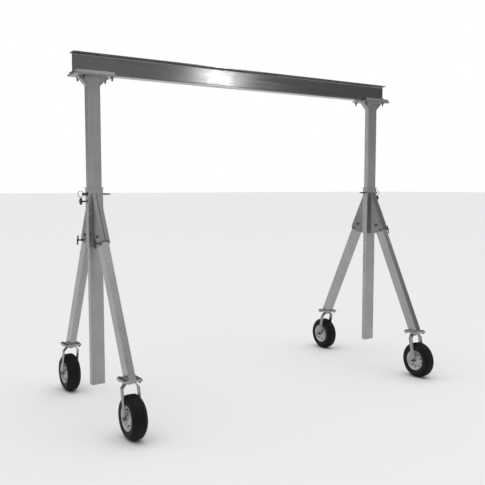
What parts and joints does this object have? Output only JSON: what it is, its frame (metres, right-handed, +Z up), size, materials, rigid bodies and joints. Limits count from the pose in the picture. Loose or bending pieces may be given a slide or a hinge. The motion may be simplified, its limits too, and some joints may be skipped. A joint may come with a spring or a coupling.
{
  "type": "portable gantry crane",
  "caption": "Free-standing height-adjustable gantry crane: an I-beam on telescoping masts, held by splayed A-frame legs on air-tyred swivel casters.",
  "frame": {"origin": "on the floor, under mid span, the bottom centre of the bounding box", "axes": "+X along the beam towards the right end, +Y across the beam towards the rear legs, +Z up"},
  "size_m": [3.0598, 1.612, 2.6554],
  "materials": {
    "beam_aluminium": "extruded I-beam, mill finish, fine draw lines along its length",
    "mast_aluminium": "extruded rectangular tube, mill finish",
    "leg_aluminium": "extruded rectangular tube, mill finish",
    "plate_aluminium": "sawn plate, mill finish",
    "bar_aluminium": "milled flat bar",
    "collar_aluminium": "welded tube, mill finish",
    "wing_aluminium": "cut plate, mill finish",
    "bolt_steel": "dark zinc-plated bolts and nuts",
    "handle_steel": "blackened steel T-handles",
    "pin_steel": "dark plated pull pin",
    "ring_steel": "bright wire ring",
    "zinc_steel": "zinc-plated pressed steel",
    "rim_metal": "light grey pressed rim",
    "tyre_rubber": "black rubber, moulded tread"
  },
  "bodies": {
    "left_frame": {"left_collar": "collar_aluminium", "left_wing_plates": "wing_aluminium", "left_pivot_bolts": "bolt_steel"},
    "beam_and_masts": {"i_beam": "beam_aluminium", "left_mast": "mast_aluminium", "left_cap_plate": "plate_aluminium", "left_head_gussets": "plate_aluminium", "left_clamp_bars": "bar_aluminium", "left_head_bolts": "bolt_steel", "right_mast": "mast_aluminium", "right_cap_plate": "plate_aluminium", "right_head_gussets": "plate_aluminium", "right_clamp_bars": "bar_aluminium", "right_head_bolts": "bolt_steel"},
    "right_frame": {"right_collar": "collar_aluminium", "right_wing_plates": "wing_aluminium", "right_pivot_bolts": "bolt_steel"},
    "left_height_pin": {"left_height_pin": "pin_steel"},
    "left_pull_ring": {"left_pull_ring": "ring_steel"},
    "left_upper_screw": {"left_upper_screw": "handle_steel"},
    "left_front_leg": {"left_front_leg": "leg_aluminium", "left_front_caster_plate": "zinc_steel", "left_front_plate_bolts": "bolt_steel", "left_front_swivel_race": "zinc_steel"},
    "left_front_fork": {"left_front_fork": "zinc_steel", "left_front_axle": "bolt_steel"},
    "left_front_wheel": {"left_front_rim": "rim_metal", "left_front_tyre": "tyre_rubber"},
    "left_front_lower_screw": {"left_front_lower_screw": "handle_steel"},
    "left_rear_leg": {"left_rear_leg": "leg_aluminium", "left_rear_caster_plate": "zinc_steel", "left_rear_plate_bolts": "bolt_steel", "left_rear_swivel_race": "zinc_steel"},
    "left_rear_fork": {"left_rear_fork": "zinc_steel", "left_rear_axle": "bolt_steel"},
    "left_rear_wheel": {"left_rear_rim": "rim_metal", "left_rear_tyre": "tyre_rubber"},
    "left_rear_lower_screw": {"left_rear_lower_screw": "handle_steel"},
    "right_height_pin": {"right_height_pin": "pin_steel"},
    "right_pull_ring": {"right_pull_ring": "ring_steel"},
    "right_upper_screw": {"right_upper_screw": "handle_steel"},
    "right_front_leg": {"right_front_leg": "leg_aluminium", "right_front_caster_plate": "zinc_steel", "right_front_plate_bolts": "bolt_steel", "right_front_swivel_race": "zinc_steel"},
    "right_front_fork": {"right_front_fork": "zinc_steel", "right_front_axle": "bolt_steel"},
    "right_front_wheel": {"right_front_rim": "rim_metal", "right_front_tyre": "tyre_rubber"},
    "right_front_lower_screw": {"right_front_lower_screw": "handle_steel"},
    "right_rear_leg": {"right_rear_leg": "leg_aluminium", "right_rear_caster_plate": "zinc_steel", "right_rear_plate_bolts": "bolt_steel", "right_rear_swivel_race": "zinc_steel"},
    "right_rear_fork": {"right_rear_fork": "zinc_steel", "right_rear_axle": "bolt_steel"},
    "right_rear_wheel": {"right_rear_rim": "rim_metal", "right_rear_tyre": "tyre_rubber"},
    "right_rear_lower_screw": {"right_rear_lower_screw": "handle_steel"}
  },
  "joints": [
    {"name": "mast_lift", "type": "slide", "parent": "left_frame", "child": "beam_and_masts", "axis": [0, 0, 1], "range_m": [0, 0.762]},
    {"name": "right_frame_slide", "type": "slide", "parent": "beam_and_masts", "child": "right_frame", "axis": [0, 0, -1], "range_m": [0, 0.762]},
    {"name": "left_pin_pull", "type": "slide", "parent": "beam_and_masts", "child": "left_height_pin", "axis": [-1, 0, 0], "range_m": [0, 0.19]},
    {"name": "left_ring_swing", "type": "hinge", "parent": "left_height_pin", "child": "left_pull_ring", "pos_m": [-1.4565, 0, 1.6415], "axis": [0, 0, 1], "range_deg": [-85, 85]},
    {"name": "left_upper_screw_turn", "type": "hinge", "parent": "left_frame", "child": "left_upper_screw", "pos_m": [-1.4795, 0, 1.589], "axis": [-1, 0, 0], "range_deg": [0, 720]},
    {"name": "left_front_leg_fold", "type": "hinge", "parent": "left_frame", "child": "left_front_leg", "pos_m": [-1.3775, -0.127, 1.336], "axis": [1, 0, 0], "range_deg": [0, 16]},
    {"name": "left_front_caster_swivel", "type": "hinge", "parent": "left_front_leg", "child": "left_front_fork", "pos_m": [-1.3775, -0.605, 0.398], "axis": [0, 0, 1], "continuous": true},
    {"name": "left_front_wheel_spin", "type": "hinge", "parent": "left_front_fork", "child": "left_front_wheel", "pos_m": [-1.3775, -0.653, 0.153], "axis": [1, 0, 0], "continuous": true},
    {"name": "left_front_lower_screw_turn", "type": "hinge", "parent": "left_frame", "child": "left_front_lower_screw", "pos_m": [-1.4455, -0.184, 1.293], "axis": [-1, 0, 0], "range_deg": [0, 720]},
    {"name": "left_rear_leg_fold", "type": "hinge", "parent": "left_frame", "child": "left_rear_leg", "pos_m": [-1.3775, 0.127, 1.336], "axis": [-1, 0, 0], "range_deg": [0, 16]},
    {"name": "left_rear_caster_swivel", "type": "hinge", "parent": "left_rear_leg", "child": "left_rear_fork", "pos_m": [-1.3775, 0.605, 0.398], "axis": [0, 0, 1], "continuous": true},
    {"name": "left_rear_wheel_spin", "type": "hinge", "parent": "left_rear_fork", "child": "left_rear_wheel", "pos_m": [-1.3775, 0.653, 0.153], "axis": [1, 0, 0], "continuous": true},
    {"name": "left_rear_lower_screw_turn", "type": "hinge", "parent": "left_frame", "child": "left_rear_lower_screw", "pos_m": [-1.4455, 0.184, 1.293], "axis": [-1, 0, 0], "range_deg": [0, 720]},
    {"name": "right_pin_pull", "type": "slide", "parent": "beam_and_masts", "child": "right_height_pin", "axis": [1, 0, 0], "range_m": [0, 0.19]},
    {"name": "right_ring_swing", "type": "hinge", "parent": "right_height_pin", "child": "right_pull_ring", "pos_m": [1.4565, 0, 1.6415], "axis": [0, 0, 1], "range_deg": [-85, 85]},
    {"name": "right_upper_screw_turn", "type": "hinge", "parent": "right_frame", "child": "right_upper_screw", "pos_m": [1.4795, 0, 1.589], "axis": [1, 0, 0], "range_deg": [0, 720]},
    {"name": "right_front_leg_fold", "type": "hinge", "parent": "right_frame", "child": "right_front_leg", "pos_m": [1.3775, -0.127, 1.336], "axis": [1, 0, 0], "range_deg": [0, 16]},
    {"name": "right_front_caster_swivel", "type": "hinge", "parent": "right_front_leg", "child": "right_front_fork", "pos_m": [1.3775, -0.605, 0.398], "axis": [0, 0, 1], "continuous": true},
    {"name": "right_front_wheel_spin", "type": "hinge", "parent": "right_front_fork", "child": "right_front_wheel", "pos_m": [1.3775, -0.653, 0.153], "axis": [1, 0, 0], "continuous": true},
    {"name": "right_front_lower_screw_turn", "type": "hinge", "parent": "right_frame", "child": "right_front_lower_screw", "pos_m": [1.4455, -0.184, 1.293], "axis": [1, 0, 0], "range_deg": [0, 720]},
    {"name": "right_rear_leg_fold", "type": "hinge", "parent": "right_frame", "child": "right_rear_leg", "pos_m": [1.3775, 0.127, 1.336], "axis": [-1, 0, 0], "range_deg": [0, 16]},
    {"name": "right_rear_caster_swivel", "type": "hinge", "parent": "right_rear_leg", "child": "right_rear_fork", "pos_m": [1.3775, 0.605, 0.398], "axis": [0, 0, 1], "continuous": true},
    {"name": "right_rear_wheel_spin", "type": "hinge", "parent": "right_rear_fork", "child": "right_rear_wheel", "pos_m": [1.3775, 0.653, 0.153], "axis": [1, 0, 0], "continuous": true},
    {"name": "right_rear_lower_screw_turn", "type": "hinge", "parent": "right_frame", "child": "right_rear_lower_screw", "pos_m": [1.4455, 0.184, 1.293], "axis": [1, 0, 0], "range_deg": [0, 720]}
  ],
  "couplings": [
    {"joint": "right_frame_slide", "follows": "mast_lift", "ratio": 1}
  ]
}
